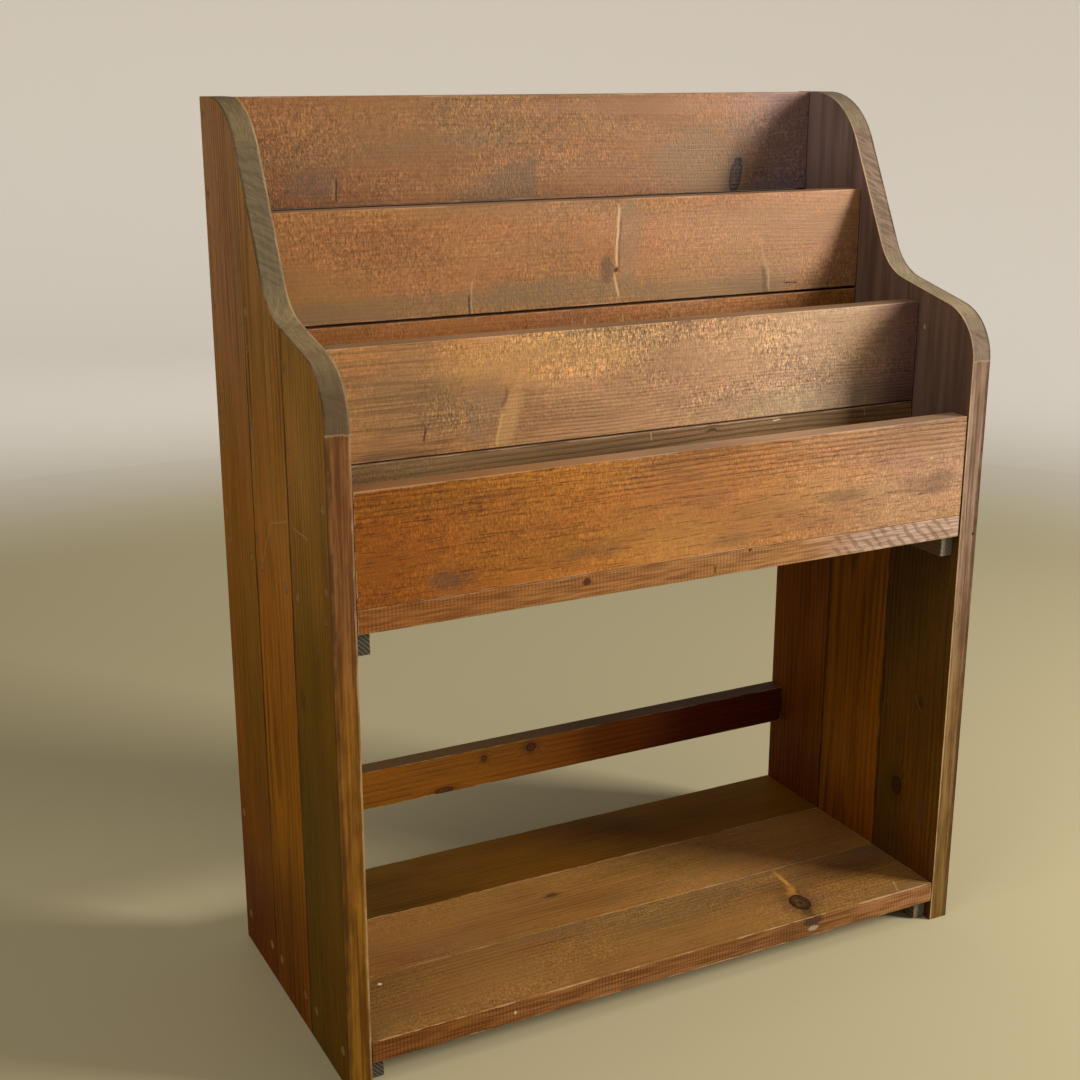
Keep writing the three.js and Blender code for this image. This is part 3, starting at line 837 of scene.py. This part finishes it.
def level_board(name, box):
    """A board of the shelf or of the deck."""
    b = Board(name, box, "x", "z")
    deck = "deck" in name
    colour = b.wood(**{**PLAIN_SHELF, **SHELF_LOOKS.get(name, {})})
    if name == "shelf_rear_board":
        # painted shade: tints along x, deepest on the left and lifting towards the right
        tints = [(-0.25, (0.66, 0.76, 0.8)), (0.0, (1.18, 1.05, 0.3)), (0.2, (1.45, 1.45, 0.7))]
        colour = b.drift(colour, b.xyz[0], tints)
    colour = b.marked(colour, shelf_marks(name, b.high[2]))
    if "front" in name:
        colour = b.blend(b.front_edge(), colour, sawn_edge(b, deck))
        colour = b.marked(colour, edge_marks(deck, b.low[1]))
    colour = b.wear(colour, 0.0008, 0.25 if deck else 0.50, (0.50, 0.33, 0.17))
    return b.done(colour, 0.52, 0.08)


def cleat(name, box):
    """A cleat, with the rings of its end grain hatched on the front end."""
    b = Board(name, box, "y", "x")
    looks = dict(ring=0.0022, ring_strength=0.6, pith=(-0.02, 0.02), wander=0.004, speckle=0.1)
    colour = b.wood((0.17, 0.115, 0.055), (0.075, 0.048, 0.022), **looks)
    slanting = b.add(b.xyz[0], b.add(b.xyz[2], b.ragged(60.0, 0.002)))
    hatch = b.ramp(b.math("SINE", b.times(slanting, 2 * math.pi / 0.0038)), -0.4, 0.6)
    if "left" in name:
        end = b.blend(hatch, (0.085, 0.078, 0.055), (0.030, 0.026, 0.016))
    else:
        end = b.blend(hatch, (0.17, 0.150, 0.112), (0.12, 0.105, 0.078))
    colour = b.wear(b.blend(b.front_edge(), colour, end), 0.0006, 0.3)
    return b.done(colour, 0.6, 0.15)


def rail(name, box):
    """The cross rail at the back of the bay."""
    b = Board(name, box, "x", "y")
    y = box[0][1]
    knots = [
        ((-0.0154, y, 0.139), 0.0048, 0.0042, 0.95),
        ((-0.0659, y, 0.137), 0.0026, 0.0028, 0.90),
        ((-0.1081, y, 0.1133), 0.0090, 0.0025, 0.9),
    ]
    looks = dict(speckle=0.06, fibre=0.8, ring=0.006, ring_strength=0.22, dashes=0.3)
    colour = b.wood((0.30, 0.112, 0.014), (0.125, 0.040, 0.006), knots=knots, **looks)
    colour = b.marked(colour, [("knot", *knot, (0.030, 0.008, 0.004)) for knot in knots])
    # tints along x set the rail's tone, and at the right end darken it as painted shadow of the right side
    tints = [(-0.24, (0.68, 0.63, 0.10)), (-0.07, (0.75, 0.72, 0.16)), (0.02, (1.03, 0.88, 0.18))]
    tints += [(0.09, (0.84, 0.52, 0.07)), (0.17, (0.34, 0.10, 0.04))]
    colour = b.drift(colour, b.xyz[0], tints)
    colour = b.blend(b.times(b.top_edge(), 0.85), colour, (0.110, 0.058, 0.016))
    colour = b.wear(colour, 0.0006, 0.35)
    return b.done(colour, 0.48, 0.2)


def soften(piece, width):
    """Joins the faces of a carried-over solid and takes off its arrises."""
    weld = piece.modifiers.new("weld", "WELD")
    weld.merge_threshold = 0.00002
    flat = piece.modifiers.new("flat", "DECIMATE")
    flat.decimate_type = "DISSOLVE"
    flat.angle_limit = math.radians(0.2)
    bevel = piece.modifiers.new("arris", "BEVEL")
    bevel.width = width
    bevel.segments = 2
    bevel.limit_method = "ANGLE"
    bevel.angle_limit = math.radians(40)


def give(piece, material):
    piece.data.materials.clear()
    piece.data.materials.append(material)


def steel(name):
    g = Graph(name)
    scratch = g.noise(g.position, (900.0, 900.0, 900.0), 3.0)
    colour = g.blend(scratch, (0.30, 0.30, 0.31), (0.45, 0.44, 0.42))
    return g.finish(colour, g.ramp(scratch, 0.3, 0.7, 0.3, 0.5), scratch, 0.0001)


# the first word that a board's name holds says what makes it
MAKERS = {"side": side_board, "wall": wall_board, "cleat": cleat, "rail": rail, "board": level_board}

SIDE_ROUNDING, BOARD_ROUNDING = 0.0005, 0.0007

screw_steel = steel("screw_steel")
for name, piece in nodes.items():
    if "screw" in name:
        give(piece, screw_steel)
        continue
    make = next(maker for word, maker in MAKERS.items() if word in name)
    give(piece, make(name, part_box(name)))
    soften(piece, SIDE_ROUNDING if "side" in name else BOARD_ROUNDING)


# the plugs over the screws: two for each board end
BOARD_PITCH = 0.0889
PLUG_SHIFT = 0.031
PLUG_RADIUS = 0.00395
PLUG_DEPTH = 0.0065
PLUG_CROWN = 0.00010
SHELF_PLUGS, DECK_PLUGS = 0.0295, 0.387
RAIL_PLUG = (0.124, 0.129)
HALF_BOARD = 0.0095
# the (radius, height) points of the button, from near its middle to its rim
PLUG_PROFILE = ((0.0026, 0.00012), (0.0036, 0.00008), (PLUG_RADIUS, -0.00015))
# the front face of each wall, the heights of its boards' middles, and whether its screws are modelled
WALL_ROWS = (
    (-0.1325, (0.4409,), True),
    (-0.060, (0.4409, 0.5303), False),
    (0.0295, (0.4409, 0.5313, 0.6217), False),
    (0.1145, (0.4405, 0.5281, 0.6157, 0.7052), False),
)


def plug_places():
    """Each plug's y and z, and whether it fills a drilled hole."""
    pair = (PLUG_SHIFT, -PLUG_SHIFT)
    places = []
    for level in (SHELF_PLUGS, DECK_PLUGS):
        places += [(row * BOARD_PITCH + shift, level, True) for row in (1, 0, -1) for shift in pair]
    for face, middles, drilled in WALL_ROWS:
        places += [(face + HALF_BOARD, middle + shift, drilled) for middle in middles for shift in pair]
    return places + [(*RAIL_PLUG, True)]


def plug_wood(name):
    g = Graph(name)
    grain = g.noise(g.position, (900.0, 120.0, 700.0), 3.0, 0.6)
    each = g.noise(g.position, (31.0, 31.0, 31.0), 1.0)
    tone = g.ramp(g.add(grain, g.times(g.subtract(each, 0.5), 0.8)), 0.3, 0.7)
    colour = g.blend(tone, (0.32, 0.165, 0.055), (0.17, 0.075, 0.020))
    return g.finish(colour, 0.55, grain, 0.0002, 0.2)


def plugs(name, side):
    """The wooden plugs of one side: short turned buttons, flush with the outer face."""
    points, faces = [], []
    around = 24
    for y, z, drilled in plug_places():
        base = len(points)
        points.append((side * (OUTER_FACE + PLUG_CROWN), y, z))
        rings = [*PLUG_PROFILE, (PLUG_RADIUS, -PLUG_DEPTH)] if drilled else PLUG_PROFILE
        for radius, proud in rings:
            for step in range(around):
                angle = 2 * math.pi * step / around
                x = side * (OUTER_FACE + proud)
                points.append((x, y + radius * math.cos(angle), z + radius * math.sin(angle)))
        for step in range(around):
            onward = (step + 1) % around
            faces.append((base, base + 1 + step, base + 1 + onward))
            for ring in range(len(rings) - 1):
                a, c = base + 1 + ring * around, base + 1 + (ring + 1) * around
                faces.append((a + step, c + step, c + onward, a + onward))
        last = base + 1 + (len(rings) - 1) * around
        faces.append(tuple(last + step for step in reversed(range(around))))
    mesh = bpy.data.meshes.new(name)
    mesh.from_pydata(points, [], [face if side < 0 else face[::-1] for face in faces])
    mesh.update()
    made = bpy.data.objects.new(name, mesh)
    scene.collection.objects.link(made)
    give(made, plug_wood(name))
    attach(made, "root")


plugs("left_plugs", -1)
plugs("right_plugs", 1)


FLOOR_COLOUR = (0.46, 0.41, 0.26)
FLOOR_LEVEL = -0.0002
SWEEP_START, SWEEP_BEND = 2.0, 0.9


def turned(name, profile, around=96):
    """A surface of revolution about Z through the (radius, height) points of the profile."""
    points, faces = [], []
    for radius, height in profile:
        for step in range(around):
            angle = 2 * math.pi * step / around
            points.append((radius * math.cos(angle), radius * math.sin(angle), height))
    for ring in range(len(profile) - 1):
        a, c = ring * around, (ring + 1) * around
        for step in range(around):
            onward = (step + 1) % around
            faces.append((a + step, a + onward, c + onward, c + step))
    mesh = bpy.data.meshes.new(name)
    mesh.from_pydata(points, [], faces)
    mesh.polygons.foreach_set("use_smooth", [True] * len(faces))
    made = bpy.data.objects.new(name, mesh)
    scene.collection.objects.link(made)
    made.data.materials.append(ground(name))
    return made


def ground(name):
    """The colour of the mat, which turns pale away from the rack, and less so in front of it than behind."""
    g = Graph(name)
    grain = g.noise(g.position, (240.0, 240.0, 240.0), 3.0)
    colour = g.blend(grain, FLOOR_COLOUR, tuple(c * 0.96 for c in FLOOR_COLOUR))
    x, y, z = g.split(g.position)
    away = g.math("SQRT", g.add(g.times(x, x), g.times(y, y)))
    behind = g.ramp(y, -1.4, -0.3, 0.35, 1.0)
    colour = g.blend(g.times(g.ramp(g.add(away, z), 1.35, 2.5), behind), colour, (0.93, 0.90, 0.86))
    return g.finish(colour, 0.9, None, 0, 0.1)


# the floor, and a sweep round it that only the camera sees
turned("floor", [(radius, FLOOR_LEVEL) for radius in (0.001, 0.5, 1.0, SWEEP_START)])
bend = []
for step in range(16):
    angle = math.radians(6 * step)
    height = SWEEP_BEND - SWEEP_BEND * math.cos(angle) + FLOOR_LEVEL
    bend.append((SWEEP_START + SWEEP_BEND * math.sin(angle), height))
wall = SWEEP_START + SWEEP_BEND
sweep = turned("sweep", bend + [(wall, 2.2), (wall, 4.0)])
for ray in ("visible_diffuse", "visible_glossy", "visible_shadow", "visible_transmission"):
    setattr(sweep, ray, False)

world = bpy.data.worlds.new("studio")
scene.world = world
world.use_nodes = True
sky = world.node_tree
sky.nodes.clear()


def sky_node(kind, *sources, **settings):
    made = sky.nodes.new(kind)
    for key, value in settings.items():
        setattr(made, key, value)
    for source, socket in zip(sources, made.inputs):
        if isinstance(source, bpy.types.NodeSocket):
            sky.links.new(source, socket)
        else:
            socket.default_value = source
    return made.outputs


# the room's own light comes mostly from in front and above; the backdrop seen past the rack is plain and pale
BRIGHTEST = (-0.30, -0.72, 0.62)
direction = sky_node("ShaderNodeTexCoord")["Generated"]
towards = sky_node("ShaderNodeVectorMath", direction, BRIGHTEST, operation="DOT_PRODUCT")["Value"]
limits = (-0.7, 1.0, AMBIENT_BACK, AMBIENT_FRONT)
amount = sky_node("ShaderNodeMapRange", towards, *limits, interpolation_type="SMOOTHSTEP")[0]
lighting = sky_node("ShaderNodeBackground", (1.0, 0.92, 0.82, 1.0), amount)[0]
backdrop = sky_node("ShaderNodeBackground", (0.60, 0.56, 0.50, 1.0), 1.0)[0]
seen = sky_node("ShaderNodeLightPath")["Is Camera Ray"]
mixed = sky_node("ShaderNodeMixShader", seen, lighting, backdrop)[0]
sky_node("ShaderNodeOutputWorld", mixed)


def lamp(name, location, target, size, power, colour):
    data = bpy.data.lights.new(name, "AREA")
    data.shape = "RECTANGLE"
    data.size, data.size_y = size
    data.energy = power
    data.color = colour
    made = bpy.data.objects.new(name, data)
    made.location = location
    made.rotation_euler = (Vector(target) - Vector(location)).to_track_quat("-Z", "Y").to_euler()
    scene.collection.objects.link(made)
    return made


lamp("window", (1.80, -1.33, 1.02), (0.0, 0.0, 0.48), (0.62, 1.0), WINDOW_POWER, (1.0, 0.94, 0.84))
behind = lamp("back", (0.35, 2.2, 1.05), (0.0, 0.0, 0.45), (1.0, 1.0), BACK_POWER, (1.0, 0.93, 0.84))
behind.visible_glossy = False
lamp("fill", (-1.25, -0.55, 1.75), (-0.1, 0.0, 0.65), (1.0, 1.0), FILL_POWER, (1.0, 0.90, 0.76))

camera_data = bpy.data.cameras.new("camera")
camera_data.sensor_width = 36
camera_data.lens = CAMERA_LENS
camera_data.clip_start = 0.01
camera = bpy.data.objects.new("camera", camera_data)
camera.location = CAMERA_PLACE
camera.rotation_euler = Vector(CAMERA_DIRECTION).to_track_quat("-Z", "Y").to_euler()
scene.collection.objects.link(camera)
scene.camera = camera
scene.view_settings.view_transform = "Standard"
